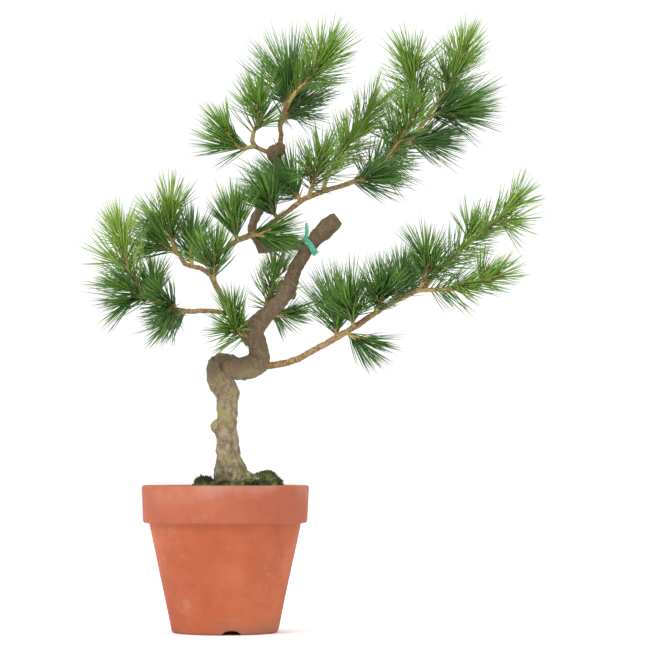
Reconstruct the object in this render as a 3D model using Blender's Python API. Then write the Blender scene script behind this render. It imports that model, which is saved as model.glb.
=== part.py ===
"""A young black pine in a clay pot: a curled trunk, open boughs and shoots of long needles.

Every size is a real one in millimetres, and becomes metres as the meshes are made.
X runs to the plant's right, Y to its back and Z up, and the origin is the centre of the
pot's flat underside. A limb is a row of stations, each (x, y, z, radius), and a smooth
curve runs through them. A mass is one stem that leaves its bough, twigs that branch from
it by a seeded rule, and needle sprays sunk into both.
"""

import math

import bpy
import numpy as np

METRES_PER_MM = 0.001
CLEARANCE = 0.3
UP = np.array((0.0, 0.0, 1.0))
BACK = np.array((0.0, 1.0, 0.0))
GOLDEN_ANGLE = math.radians(137.5)
SMOOTH_BELOW = math.radians(40)

# Pot
POT_HEIGHT = 140.0
RIM_RADIUS = 80.0
RIM_FOOT_RADIUS = 78.6
RIM_HEIGHT = 36.0
RIM_ROUNDING = 2.6
BODY_TOP_RADIUS = 72.4
BASE_RADIUS = 50.8
BASE_BEVEL = 1.6
BORE_TOP_RADIUS = 71.5
BORE_FLOOR_RADIUS = 44.0
FLOOR_THICKNESS = 9.0
POT_SEGMENTS = 36
NOTCH_WIDTH = 18.0
NOTCH_HEIGHT = 4.4
NOTCH_DEPTH = 21.0
DRAIN_RADIUS = 4.5
DRAIN_BEARINGS = (-81.0, 39.0, 159.0)

# Soil and moss
SOIL_LEVEL = 136.0
SOIL_EDGE_LEVEL = 131.0
SOIL_FLAT_RADIUS = 62.0
GROUND = SOIL_LEVEL + CLEARANCE
MOSS_MOUNDS = (
    # x, y, half width, half depth, height
    (39, 2, 19, 17, 17),
    (25, -19, 15, 12, 9),
    (0, -23, 17, 11, 8),
    (-20, -3, 13, 15, 12),
    (-7, 20, 15, 13, 9),
    (20, 23, 18, 12, 12),
)
MOUND_SIDES = 8

# Trunk: the foot and the curl, then the thick limb that leaves the curl and ends in a cut stub
TRUNK_FOOT = (
    (9, 0, 126, 23), (8, 0, 136, 18.5), (6, 0, 145, 16.4), (5, 0, 154, 15.2), (3, 0, 166, 12.2), (2, 0, 178, 10.6),
    (1, 0, 193, 10.1), (2, 0, 219, 10.3), (1, -1, 230, 11.4), (-5, -4, 239, 11.3), (-10, -3, 249, 8.2),
    (-8, 2, 257, 7.8), (-2, 5, 259, 7.8), (6, 6, 256, 7.8), (13, 4, 252, 7),
)
TRUNK_LIMB = (
    (-4, -3, 248.5, 3.5), (-1, -3, 249, 8.3), (6, -3, 250, 9.2), (15, -1, 251, 10.6), (23, 0, 253, 11.6),
    (31, 1, 258, 11.2), (32, 2, 267, 9.4), (30, 2, 276, 9.5), (25, 1, 286, 11.5), (30, 0, 293, 9.8),
    (39, -1, 303, 7.6), (47, -1, 311, 7.1), (56, 0, 321, 7.6), (60, 0, 328, 7.8), (64, 1, 340, 6.8),
    (69, 2, 352, 6.4), (77, 3, 364, 6.5), (85, 3, 375, 7), (92, 3, 382, 8.3), (98, 3, 388, 8.8),
    (104, 3, 393, 8), (108, 3, 396, 6.5),
)
ROOT_SPURS = (
    # from the foot's middle to where each one goes under the ground: x, y
    (30, -12), (-14, -13), (-12, 14), (24, 18),
)
KNOTS = (
    # x, y, z, radius
    (-7, -2, 196, 6.5),
    (-4, -4, 225, 5.0),
    (64, -2, 322, 4.0),
)
TRUNK_SIDES = 10
TRUNK_STEP = 7.5

# Plastic tie round the trunk at the leader
TIE_CENTRE = (80.8, 3.0, 369.6)
TIE_HALF_LENGTH = 9.6
TIE_HALF_DEPTH = 7.9
TIE_BAND = 6.0
TIE_THICKNESS = 0.8
TIE_TILT = math.radians(52)
TIE_SEGMENTS = 16

# Boughs in the order they grow: name and stations. Each is cut clear of the limbs it meets
BOUGHS = (
    ("leader_low",
     ((77, 3, 367, 5.6), (68, 2, 371, 5.8), (57, 1, 371, 6), (44, 0, 370, 6.2), (35, 0, 368, 6), (30, 0, 366, 4.6))),
    ("leader_high",
     ((35, 2, 370, 4.8), (25, 5, 386, 4.4), (30, 9, 401, 4.3), (37, 12, 413, 4.1), (45, 14, 425, 3.9),
      (49, 14, 440, 3.8), (48, 12, 451, 4.6), (46, 10, 460, 7.2), (51, 10, 465, 6.6), (53, 10, 470, 3.4))),
    ("crown_twig",
     ((51, 10, 464, 2.6), (53, 9, 479, 2.3), (52, 8, 488, 2.3), (54, 8, 494, 2.9), (57, 7, 502, 2.3),
      (60, 6, 509, 2.5))),
    ("crown_left_twig",
     ((46, 10, 461, 2.8), (34, 4, 463, 2.2), (28, 0, 466, 2.2), (25, -2, 471, 2.4))),
    ("fork_bough",
     ((27, 1, 288, 3.2), (17, 1, 296, 3), (8, -4, 304, 2.8), (1, -9, 312, 2.7), (-3, -13, 320, 2.6),
      (-11, -18, 335, 2.6), (-14, -18, 342, 2.8))),
    ("left_arm",
     ((-13, -18, 340, 2.3), (-24, -14, 347, 2.3), (-32, -8, 349, 2.1), (-40, 0, 353, 2.1), (-44, 7, 360, 2),
      (-48, 11, 365, 2))),
    ("upper_bough",
     ((-14, -18, 341, 2.5), (-8, -19, 358, 2.4), (1, -19, 365, 2.4), (10, -18, 372, 2.3), (21, -18, 377, 2.8),
      (39, -17, 386, 2.3), (53, -16, 396, 2.3), (74, -12, 413, 2.5))),
    ("upper_bough_end",
     ((74, -12, 413, 2.5), (93, -8, 421, 2.4), (124, 0, 432, 2.3), (141, 5, 442, 2.2), (154, 9, 452, 2.2),
      (169, 14, 467, 2.1), (184, 18, 482, 2.1), (194, 20, 496, 2.4))),
    ("low_left_bough",
     ((25, -3, 290, 2.8), (15, -9, 297, 2.6), (3, -18, 303, 2.3), (-11, -26, 305, 2.2), (-44, -40, 305, 2.2),
      (-60, -45, 310, 1.9), (-73, -48, 318, 2.2))),
    ("right_bough",
     ((33, 2, 254, 3.4), (48, -2, 255, 3.3), (66, -8, 259, 3.1), (84, -15, 268, 3), (101, -21, 277, 2.9),
      (125, -28, 291, 2.9), (153, -33, 309, 2.3), (183, -36, 324, 2.2), (192, -37, 329, 2.4))),
)
BOUGH_SIDES = 6

# Masses: name, stem from inside its bough (x, y, z), sprays, needle length, spread in degrees, lean
MASSES = (
    ("crown_right", ((60, 6, 509), (69, 4, 521), (79, 2, 530), (99, -5, 554)), 22, 47, 56, (0, 0, 0.1)),
    ("crown_top", ((57, 7, 503), (60, 13, 516), (66, 18, 530)), 20, 66, 56, (-0.65, 0, 0.15)),
    ("crown_back", ((53, 9, 489), (60, 24, 501), (71, 42, 516)), 17, 56, 56, (0.3, 0.2, 0)),
    ("crown_left_up", ((25, -2, 471), (28, -6, 482), (33, -8, 489), (35, -12, 509)), 16, 45, 54, (-0.2, 0, 0.1)),
    ("crown_left_out", ((28, 0, 466), (15, -9, 463), (7, -18, 468), (2, -26, 477)), 15, 43, 50, (-0.35, 0, 0.35)),
    ("node_fan", ((12, -18, 373), (10, -27, 380), (9, -34, 388)), 13, 50, 50, (-0.15, -0.1, 0.6)),
    ("leader_fan", ((24, -18, 379), (33, -30, 377), (41, -37, 374)), 11, 48, 60, (0.8, -0.1, 0)),
    ("bough_fan", ((72, -12, 411), (68, -2, 420), (63, 8, 430)), 19, 57, 62, (-0.55, 0.1, 0.3)),
    ("bough_front_fan", ((50, -16, 394), (45, -25, 402), (41, -32, 411)), 14, 46, 58, (-0.35, -0.1, 0.3)),
    ("bough_low_shoot", ((80, -11, 416), (84, -23, 427), (94, -40, 453)), 16, 42, 56, (0, 0, 0)),
    ("bough_long_shoot", ((93, -8, 421), (99, 8, 440), (109, 20, 457), (142, 43, 510)), 25, 46, 54, (0, 0, 0)),
    ("bough_back_shoot", ((124, 0, 432), (140, 24, 446), (167, 57, 472)), 18, 48, 56, (0, 0.1, 0)),
    ("bough_front_shoot", ((154, 9, 452), (164, -12, 465), (180, -36, 493)), 18, 46, 56, (0, 0, 0)),
    ("bough_under_fan", ((118, -2, 430), (128, -14, 431), (141, -26, 433)), 13, 50, 60, (0.7, -0.1, 0)),
    ("bough_mid_fan", ((172, 15, 470), (184, 27, 474), (197, 38, 479)), 15, 52, 62, (0.5, 0.1, 0)),
    ("bough_side_shoot", ((191, 19, 492), (186, 10, 512), (181, 2, 530), (177, -4, 548)), 20, 44, 58, (-0.1, 0, 0)),
    ("bough_tip_shoot", ((195, 20, 498), (207, 25, 514), (220, 28, 533), (232, 31, 566)), 25, 43, 54, (0, 0, 0)),
    ("bough_tip_fan", ((194, 20, 495), (207, 10, 500), (220, 2, 504)), 16, 62, 60, (0.55, -0.1, 0.1)),
    ("fork_bud_fan", ((-10, -17, 333), (-10, -28, 346), (-9, -35, 356)), 13, 46, 54, (0, 0, 0.4)),
    ("arm_up_shoot", ((-48, 11, 365), (-52, 13, 374), (-55, 16, 396), (-54, 17, 409)), 19, 43, 50, (0, 0, 0)),
    ("arm_out_shoot", ((-46, 9, 362), (-57, 3, 369), (-65, -3, 380)), 14, 44, 54, (-0.4, 0, 0)),
    ("arm_back_fan", ((-32, -8, 349), (-34, 8, 362), (-35, 24, 377)), 15, 48, 50, (0, 0.1, 0.3)),
    ("low_left_up", ((-73, -48, 318), (-89, -52, 341), (-95, -54, 370), (-98, -55, 380)), 21, 41, 52, (0, 0, 0)),
    ("low_left_out", ((-66, -46, 314), (-79, -58, 318), (-90, -69, 325)), 15, 46, 54, (-0.3, -0.1, -0.15)),
    ("low_left_bud", ((-60, -45, 310), (-66, -36, 322), (-68, -28, 334)), 14, 38, 54, (0, 0.1, 0.2)),
    ("low_left_fan", ((-44, -40, 305), (-48, -52, 309), (-54, -62, 315)), 13, 42, 58, (-0.3, -0.1, -0.3)),
    ("low_left_hang", ((-33, -36, 305), (-41, -27, 303), (-50, -18, 299)), 11, 42, 50, (-0.4, 0.1, -0.2)),
    ("trunk_bud_fan", ((25, -1, 282), (12, -15, 287), (9, -22, 296), (8, -26, 303)), 17, 39, 66, (-0.1, -0.1, 0.2)),
    ("trunk_back_fan", ((37, 0, 303), (40, 14, 317), (44, 19, 333), (48, 22, 350)), 16, 36, 60, (-0.1, 0.1, 0.1)),
    ("trunk_right_fan", ((42, 1, 305), (50, 15, 303), (60, 26, 305)), 11, 32, 60, (0.4, 0.2, 0)),
    ("right_tall_fan", ((105, -22, 279), (108, -14, 290), (111, -4, 301)), 16, 61, 58, (-0.4, 0, 0.5)),
    ("right_whorl_fan", ((123, -28, 290), (120, -37, 299), (118, -44, 306)), 14, 58, 60, (-0.1, -0.1, 0.4)),
    ("right_hang", ((116, -26, 286), (121, -33, 280), (127, -38, 276)), 7, 46, 44, (0.5, -0.1, -0.3)),
    ("right_brush", ((143, -31, 303), (147, -44, 313), (152, -55, 323)), 16, 47, 60, (-0.1, -0.1, 0.3)),
    ("right_back_brush", ((159, -34, 312), (166, -20, 324), (175, -8, 337)), 17, 47, 60, (0, 0.2, 0.2)),
    ("right_cluster", ((186, -36, 326), (191, -46, 342), (190, -53, 356)), 16, 44, 56, (0, 0, 0)),
    ("right_upper_shoot", ((192, -37, 329), (202, -34, 342), (241, -20, 377), (280, -6, 413)), 28, 40, 50, (0, 0, 0)),
    ("right_lower_shoot", ((182, -36, 324), (200, -46, 324), (225, -56, 325), (257, -65, 336)), 19, 38, 50, (0, 0, 0)),
)
STEM_ROOT_RADIUS = 2.0
STEM_TIP_RADIUS = 1.3
STEM_SIDES = 4
SPRAY_WIDTH = 3.4
SPRAY_THICKNESS = 1.6
WIDEST_AT = 0.33
ROOT_SHARE = 0.25
FIRST_SPRAY = 0.22
TIP_SPREAD = 26.0
SPREAD_CHANCE = 14.0
TWIG_SHARES = (0.45, 0.75)
SHORT_STEM = 50.0
TWIG_LENGTH = 15.0
TWIG_ANGLE = math.radians(42)
TWIG_RADIUS = 1.3
TRIES = 6

# Colour, roughness
BARK = ((0.235, 0.165, 0.095), 0.9)
YOUNG_BARK = ((0.27, 0.15, 0.07), 0.85)
NEEDLE = ((0.115, 0.265, 0.035), 0.55)
CLAY = ((0.56, 0.125, 0.045), 0.88)
EARTH = ((0.03, 0.02, 0.013), 0.95)
MOSS = ((0.06, 0.10, 0.018), 0.95)
TIE = ((0.09, 0.52, 0.34), 0.4)


def clear_scene():
    for old in list(bpy.data.objects):
        bpy.data.objects.remove(old, do_unlink=True)


def material(name, finish):
    colour, roughness = finish
    made = bpy.data.materials.new(name)
    made.use_nodes = True
    shader = made.node_tree.nodes["Principled BSDF"]
    shader.inputs["Base Color"].default_value = (*colour, 1.0)
    shader.inputs["Roughness"].default_value = roughness
    return made


def solid(name, points, faces):
    """A mesh object from points in millimetres."""
    mesh = bpy.data.meshes.new(name)
    mesh.from_pydata([tuple(p) for p in np.asarray(points) * METRES_PER_MM], [], faces)
    made = bpy.data.objects.new(name, mesh)
    bpy.context.scene.collection.objects.link(made)
    return made


def combine(target, others, operation):
    """One Boolean on a collection of the others, applied, with the collection and its objects removed."""
    group = bpy.data.collections.new("operands")
    bpy.context.scene.collection.children.link(group)
    for other in others:
        group.objects.link(other)
        bpy.context.scene.collection.objects.unlink(other)
    boolean = target.modifiers.new("Combine", "BOOLEAN")
    boolean.operation = operation
    boolean.operand_type = "COLLECTION"
    boolean.collection = group
    bpy.context.view_layer.update()
    graph = bpy.context.evaluated_depsgraph_get()
    made = bpy.data.meshes.new_from_object(target.evaluated_get(graph))
    target.modifiers.clear()
    target.data = made
    made.name = target.name
    for other in list(group.objects):
        bpy.data.objects.remove(other, do_unlink=True)
    bpy.data.collections.remove(group)
    return target


def keep_largest(made):
    """Drops any scrap that a cut left loose: each point takes the lowest number it is joined to."""
    mesh = made.data
    ends = np.empty(len(mesh.edges) * 2, np.int32)
    mesh.edges.foreach_get("vertices", ends)
    ends = ends.reshape(-1, 2)
    label = np.arange(len(mesh.vertices))
    changed = True
    while changed:
        before = label.copy()
        lowest = label[ends].min(axis=1)
        np.minimum.at(label, ends[:, 0], lowest)
        np.minimum.at(label, ends[:, 1], lowest)
        changed = (label != before).any()
    kept = label == np.bincount(label).argmax()
    if kept.all():
        return
    number = np.cumsum(kept) - 1
    points = [vertex.co[:] for vertex in mesh.vertices if kept[vertex.index]]
    faces = [[int(number[i]) for i in face.vertices] for face in mesh.polygons if kept[face.vertices[0]]]
    made.data = bpy.data.meshes.new(made.name)
    made.data.from_pydata(points, [], faces)


def finish(made, look):
    keep_largest(made)
    made.data.materials.clear()
    made.data.materials.append(look)
    made.data.shade_smooth()
    made.data.set_sharp_from_angle(angle=SMOOTH_BELOW)


def unit(vector):
    return vector / np.linalg.norm(vector)


def smooth_path(stations, step):
    """Points about a step apart on a curve through the stations, whose slopes are weighted by distance."""
    rows = np.array(stations, float)
    at = np.concatenate(([0], np.cumsum(np.linalg.norm(np.diff(rows[:, :3], axis=0), axis=1))))
    run = np.diff(at)[:, None]
    slope = np.diff(rows, axis=0) / run
    inner = (slope[:-1] * run[1:] + slope[1:] * run[:-1]) / (run[1:] + run[:-1])
    tangent = np.concatenate((slope[:1], inner, slope[-1:]))
    where = np.linspace(0, at[-1], max(2, round(at[-1] / step)) + 1)
    i = np.clip(np.searchsorted(at, where, side="right") - 1, 0, len(run) - 1)
    h = run[i]
    t = (where - at[i])[:, None] / h
    return ((2 * t**3 - 3 * t**2 + 1) * rows[i] + (t**3 - 2 * t**2 + t) * h * tangent[i]
            + (3 * t**2 - 2 * t**3) * rows[i + 1] + (t**3 - t**2) * h * tangent[i + 1])


def tube(path, sides):
    """Points and faces of a closed tube whose rings never twist and whose radius is the path's fourth column."""
    along = np.gradient(path[:, :3], axis=0)
    along /= np.linalg.norm(along, axis=1)[:, None]
    across = [unit(np.cross(along[0], UP if abs(along[0][2]) < 0.9 else BACK))]
    for direction in along[1:]:
        across.append(unit(across[-1] - direction * np.dot(across[-1], direction)))
    across = np.array(across)
    over = np.cross(along, across)
    turn = 2 * math.pi * np.arange(sides) / sides
    ring = across[:, None] * np.cos(turn)[:, None] + over[:, None] * np.sin(turn)[:, None]
    points = (path[:, None, :3] + ring * path[:, None, 3:]).reshape(-1, 3)
    faces = band_faces(len(path), sides)
    faces += [tuple(range(sides - 1, -1, -1)), tuple(range(len(points) - sides, len(points)))]
    return points, faces


def band_faces(rings, sides):
    """Four-cornered faces between each ring of points and the next."""
    return [(i * sides + j, i * sides + (j + 1) % sides, (i + 1) * sides + (j + 1) % sides, (i + 1) * sides + j)
            for i in range(rings - 1) for j in range(sides)]


def wider(path, sides):
    """The path of a tube whose flats stand a clearance outside those of this one, and so do its ends."""
    grown = path.copy()
    grown[:, 3] += CLEARANCE / math.cos(math.pi / sides)
    grown[0, :3] += unit(path[0, :3] - path[1, :3]) * CLEARANCE
    grown[-1, :3] += unit(path[-1, :3] - path[-2, :3]) * CLEARANCE
    return grown


def turned(name, profile):
    """A body of revolution: each (radius, height) of the profile is a ring, and flat faces close both ends."""
    turn = 2 * math.pi * np.arange(POT_SEGMENTS) / POT_SEGMENTS
    points = [(radius * math.cos(a), radius * math.sin(a), height) for radius, height in profile for a in turn]
    faces = band_faces(len(profile), POT_SEGMENTS)
    faces.append(tuple(range(POT_SEGMENTS - 1, -1, -1)))
    faces.append(tuple(range(len(points) - POT_SEGMENTS, len(points))))
    return solid(name, points, faces)


def quarter(radius, height, rounding, start):
    """Points of a quarter round about (radius, height), anticlockwise from the start angle in degrees."""
    angles = np.radians(start + np.linspace(0, 90, 3))
    return [(radius + rounding * math.cos(a), height + rounding * math.sin(a)) for a in angles]


def bore_radius(height):
    """The inner wall's radius, a straight taper from the floor to the top."""
    share = (height - FLOOR_THICKNESS) / (POT_HEIGHT - FLOOR_THICKNESS)
    return BORE_FLOOR_RADIUS + (BORE_TOP_RADIUS - BORE_FLOOR_RADIUS) * share


def make_pot():
    """The turned wall, rim and floor, with low arched notches in the foot and a drain hole above each."""
    rim_foot = POT_HEIGHT - RIM_HEIGHT
    profile = [(BASE_RADIUS - BASE_BEVEL, 0), (BASE_RADIUS, BASE_BEVEL), (BODY_TOP_RADIUS, rim_foot)]
    profile += quarter(RIM_FOOT_RADIUS - RIM_ROUNDING, rim_foot + RIM_ROUNDING, RIM_ROUNDING, -90)
    profile += quarter(RIM_RADIUS - RIM_ROUNDING, POT_HEIGHT - RIM_ROUNDING, RIM_ROUNDING, 0)
    profile += [(BORE_TOP_RADIUS + 1.5, POT_HEIGHT), (bore_radius(POT_HEIGHT - 2), POT_HEIGHT - 2)]
    profile += [(BORE_FLOOR_RADIUS, FLOOR_THICKNESS)]
    cutters = []
    for bearing in np.radians(DRAIN_BEARINGS):
        outward = np.array((math.cos(bearing), math.sin(bearing), 0.0))
        sideways = np.array((-math.sin(bearing), math.cos(bearing), 0.0))
        outer, inner = outward * (BASE_RADIUS + 5), outward * (BASE_RADIUS - NOTCH_DEPTH)
        arch, faces = tube(np.array([(*outer, NOTCH_HEIGHT), (*inner, NOTCH_HEIGHT)]), 12)
        arch += np.outer(arch @ sideways, sideways) * (NOTCH_WIDTH / NOTCH_HEIGHT / 2 - 1)
        cutters.append(solid("notch", arch, faces))
        seat = inner + outward * DRAIN_RADIUS
        hole = [(*(seat - UP), DRAIN_RADIUS), (*(seat + UP * FLOOR_THICKNESS * 1.5), DRAIN_RADIUS)]
        cutters.append(solid("hole", *tube(np.array(hole), 10)))
    return combine(turned("pot", profile), cutters, "DIFFERENCE")


def make_soil():
    """Earth that fills the pot to just under its rim, a clearance inside the wall."""
    inset = CLEARANCE * 1.2
    low = FLOOR_THICKNESS + CLEARANCE
    return turned("soil", [(bore_radius(low) - inset, low), (bore_radius(SOIL_EDGE_LEVEL) - inset, SOIL_EDGE_LEVEL),
                           (SOIL_FLAT_RADIUS + 4, SOIL_LEVEL - 1.2), (SOIL_FLAT_RADIUS, SOIL_LEVEL)])


def mound(x, y, half_width, half_depth, height):
    """A low rounded heap with a flat foot at ground level."""
    turn = 2 * math.pi * np.arange(MOUND_SIDES) / MOUND_SIDES
    points = [(x + half_width * wide * math.cos(a), y + half_depth * wide * math.sin(a), GROUND + height * up)
              for wide, up in ((1.0, 0.0), (0.86, 0.5), (0.45, 0.92)) for a in turn]
    faces = band_faces(3, MOUND_SIDES)
    faces += [tuple(range(MOUND_SIDES - 1, -1, -1)), tuple(range(2 * MOUND_SIDES, 3 * MOUND_SIDES))]
    return solid("mound", points, faces)


def ball(x, y, z, radius):
    """A round knot with flat facets."""
    sides, rings = 7, 4
    height = math.pi * np.arange(1, rings) / rings
    turn = 2 * math.pi * np.arange(sides) / sides
    ring = [(math.sin(h) * math.cos(a), math.sin(h) * math.sin(a), -math.cos(h)) for h in height for a in turn]
    faces = band_faces(rings - 1, sides)
    faces += [tuple(range(sides - 1, -1, -1)), tuple(range(sides * (rings - 2), sides * (rings - 1)))]
    return solid("knot", np.array(ring) * radius + (x, y, z), faces)


def trunk_parts(grown):
    """The foot with its curl, the limb that grows out of the curl, root spurs and knots, at their size or grown."""
    paths = [smooth_path(TRUNK_FOOT, TRUNK_STEP), smooth_path(TRUNK_LIMB, TRUNK_STEP)]
    parts = [solid("wood", *tube(wider(path, TRUNK_SIDES) if grown else path, TRUNK_SIDES)) for path in paths]
    extra = CLEARANCE if grown else 0
    parts += [ball(x, y, z, radius + extra) for x, y, z, radius in KNOTS]
    for x, y in ROOT_SPURS:
        spur = np.array([(8, 0, 152, 8), (8 + x * 0.6, y * 0.6, 142, 8), (8 + x, y, 134, 6)], float)
        parts.append(solid("spur", *tube(spur + (0, 0, 0, extra), 6)))
    return parts


def make_trunk(grown=False):
    parts = trunk_parts(grown)
    trunk = combine(parts[0], parts[1:], "UNION")
    trunk.name = "trunk"
    if grown:
        return trunk
    under = turned("under", [(60, GROUND - 50), (60, GROUND)])
    return combine(trunk, [under], "DIFFERENCE")


def tie_band(name, extra):
    """The flat band of the tie, a leaning oval ring with four corners to its section, thicker all round by extra."""
    lean = np.array((math.cos(TIE_TILT), 0, -math.sin(TIE_TILT)))
    axis = np.cross(lean, BACK)
    points = []
    for a in 2 * math.pi * np.arange(TIE_SEGMENTS) / TIE_SEGMENTS:
        rim = np.array(TIE_CENTRE) + lean * math.cos(a) * TIE_HALF_LENGTH + BACK * math.sin(a) * TIE_HALF_DEPTH
        out = unit(rim - TIE_CENTRE)
        for up, thick in ((-1, 0), (-1, 1), (1, 1), (1, 0)):
            points.append(rim + axis * up * (TIE_BAND / 2 + extra) + out * (thick * (TIE_THICKNESS + 2 * extra) - extra))
    closed = len(points)
    faces = [tuple((4 * k + corner) % closed for corner in (j, j + 4 if j < 4 else j, (j + 1) % 4 + 4, (j + 1) % 4))
             for k in range(TIE_SEGMENTS) for j in range(4)]
    return solid(name, points, faces)


class Room:
    """The capsules that limbs and needles fill, so that a new one can be tried against them."""

    def __init__(self):
        self.rows, self.owners = np.empty((0, 7)), np.empty(0, dtype=object)

    def take(self, owner, path):
        """Keeps a capsule for each pair of neighbouring points of a path."""
        rows = np.hstack((path[:-1, :3], path[1:, :3], np.maximum(path[:-1, 3:], path[1:, 3:])))
        self.rows = np.vstack((self.rows, rows))
        self.owners = np.concatenate((self.owners, np.array([owner] * len(rows), dtype=object)))

    def spare(self, start, end, radius, cut=0.0):
        """How far a capsule stands from each one kept, whose first part is left out by a share."""
        firsts = self.rows[:, :3] + (self.rows[:, 3:6] - self.rows[:, :3]) * cut
        return segment_gap(start, end, firsts, self.rows[:, 3:6]) - radius - self.rows[:, 6]

    def met_by(self, owner, path):
        """The owners that a path comes within a clearance of."""
        met = set()
        for a, b in zip(path[:-1], path[1:]):
            near = self.spare(a[:3], b[:3], max(a[3], b[3])) < CLEARANCE
            met |= set(self.owners[near])
        return sorted(met - {owner})

    def free(self, owner, start, end, radius):
        """True where nothing of another owner is near, and the outer part crosses nothing of its own."""
        own = self.owners == owner
        outer = start + (end - start) * ROOT_SHARE
        clear = self.spare(start, end, radius) > CLEARANCE * 1.5
        apart = self.spare(outer, end, radius, ROOT_SHARE) > -0.4 * radius
        return bool(np.where(own, apart, clear).all())


def segment_gap(start, end, firsts, lasts):
    """The least distance from one segment to each of many, by clamping the two nearest points."""
    d1, d2, r = end - start, lasts - firsts, start - firsts
    a, e = np.dot(d1, d1), np.einsum("ij,ij->i", d2, d2)
    b, c, f = d2 @ d1, r @ d1, np.einsum("ij,ij->i", d2, r)
    s = np.clip((b * f - c * e) / np.maximum(a * e - b * b, 1e-9), 0, 1)
    t = np.clip((b * s + f) / e, 0, 1)
    s = np.clip((b * t - c) / a, 0, 1)
    return np.linalg.norm(r + d1 * s[:, None] - d2 * t[:, None], axis=1)


def cutters(names, limbs):
    """One grown copy of each limb named, to cut what meets it."""
    made = []
    for name in names:
        if name == "trunk":
            made.append(make_trunk(grown=True))
        elif name == "tie":
            made.append(tie_band("tie_cutter", CLEARANCE))
        else:
            path, sides = limbs[name]
            made.append(solid("cutter", *tube(wider(path, sides), sides)))
    return made


def make_bough(name, path, room, limbs):
    """One tapering limb, cut clear of the limbs before it that it meets."""
    bough = combine(solid(name, *tube(path, BOUGH_SIDES)), cutters(room.met_by(name, path), limbs), "DIFFERENCE")
    room.take(name, path)
    limbs[name] = (path, BOUGH_SIDES)
    return bough


def place_on(path, share):
    """The point and direction at a share of a path's length."""
    where = share * (len(path) - 1)
    i = min(int(where), len(path) - 2)
    step = path[i + 1, :3] - path[i, :3]
    return path[i, :3] + step * (where - i), unit(step)


def turned_away(direction, angle, bearing, lean):
    """A direction at an angle from another, at a bearing round it, pulled towards the lean."""
    across = unit(np.cross(direction, (0.31, 0.95, 0.1)))
    over = np.cross(direction, across)
    away = direction * math.cos(angle) + (across * math.cos(bearing) + over * math.sin(bearing)) * math.sin(angle)
    return unit(away + np.array(lean))


def stem_of(points):
    """The tapering stem of a mass."""
    radii = np.linspace(STEM_ROOT_RADIUS, STEM_TIP_RADIUS, len(points))
    return smooth_path([(*point, radius) for point, radius in zip(points, radii)], 15)


def grow_twigs(name, stem, lean, chance, room):
    """Side twigs that leave the outer half of the stem on opposite bearings: one on a short stem, else two."""
    twigs = []
    long = np.linalg.norm(stem[-1, :3] - stem[0, :3]) > SHORT_STEM
    for k, share in enumerate(TWIG_SHARES[:1 + long]):
        root, direction = place_on(stem, share)
        away = turned_away(direction, TWIG_ANGLE, math.pi * k + chance.uniform(0, math.pi), lean)
        tip = root + away * TWIG_LENGTH
        if room.free(name, root + away * 5, tip, TWIG_RADIUS):
            twigs.append(np.array([(*root, TWIG_RADIUS), (*tip, TWIG_RADIUS * 0.7)]))
            room.take(name, twigs[-1])
    return twigs


def spray(root, tip, flat):
    """A slender spike of six faces, widest a third of the way along and flattened across one way."""
    along = unit(tip - root)
    across = unit(flat - along * np.dot(flat, along))
    over = np.cross(along, across)
    middle = root + (tip - root) * WIDEST_AT
    turn = 2 * math.pi * np.arange(3) / 3
    ring = [middle + across * math.cos(a) * SPRAY_WIDTH / 2 + over * math.sin(a) * SPRAY_THICKNESS / 2 for a in turn]
    faces = [(1 + (j + 1) % 3, 1 + j, 0) for j in range(3)] + [(1 + j, 1 + (j + 1) % 3, 4) for j in range(3)]
    return solid("spray", [root, *ring, tip], faces)


def grow_sprays(name, stem, twigs, habit, chance, room):
    """Needle sprays by the golden angle, open at the stem's foot and close at its tip, and some on each twig."""
    count, length, spread, lean = habit
    made = []
    for k in range(count):
        share = FIRST_SPRAY + (1 - FIRST_SPRAY) * ((k + 0.5) / count) ** 0.85
        path = stem
        if twigs and k % 4 == 3:
            path, share = twigs[(k // 4) % len(twigs)], 0.6 + 0.4 * chance.random()
        root, direction = place_on(path, min(share, 0.97))
        for _ in range(TRIES):
            off = spread + (TIP_SPREAD - spread) * share**2 + chance.uniform(-SPREAD_CHANCE, SPREAD_CHANCE) * share
            angle = math.radians(off)
            bearing = GOLDEN_ANGLE * k + chance.uniform(-0.5, 0.5)
            away = turned_away(direction, angle, bearing, lean)
            tip = root + away * length * chance.uniform(0.88, 1.06)
            if room.free(name, root + away * 4, tip, SPRAY_WIDTH / 2):
                room.take(name, np.array([(*(root + away * 4), SPRAY_WIDTH / 2), (*tip, SPRAY_WIDTH / 2)]))
                made.append(spray(root, tip, np.cross(away, direction + BACK * 0.01)))
                break
    return made


def make_mass(index, name, habit, stem, room, limbs, others):
    """One stem with its twigs and sprays fused, cut clear of its bough and of the stems beside it."""
    chance = np.random.default_rng(100 + index)
    twigs = grow_twigs(name, stem, habit[3], chance, room)
    parts = grow_sprays(name, stem, twigs, habit, chance, room)
    parts += [solid("twig", *tube(twig, 3)) for twig in twigs]
    mass = combine(solid(name, *tube(stem, STEM_SIDES)), parts, "UNION")
    return combine(mass, cutters(others, limbs), "DIFFERENCE")


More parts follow.
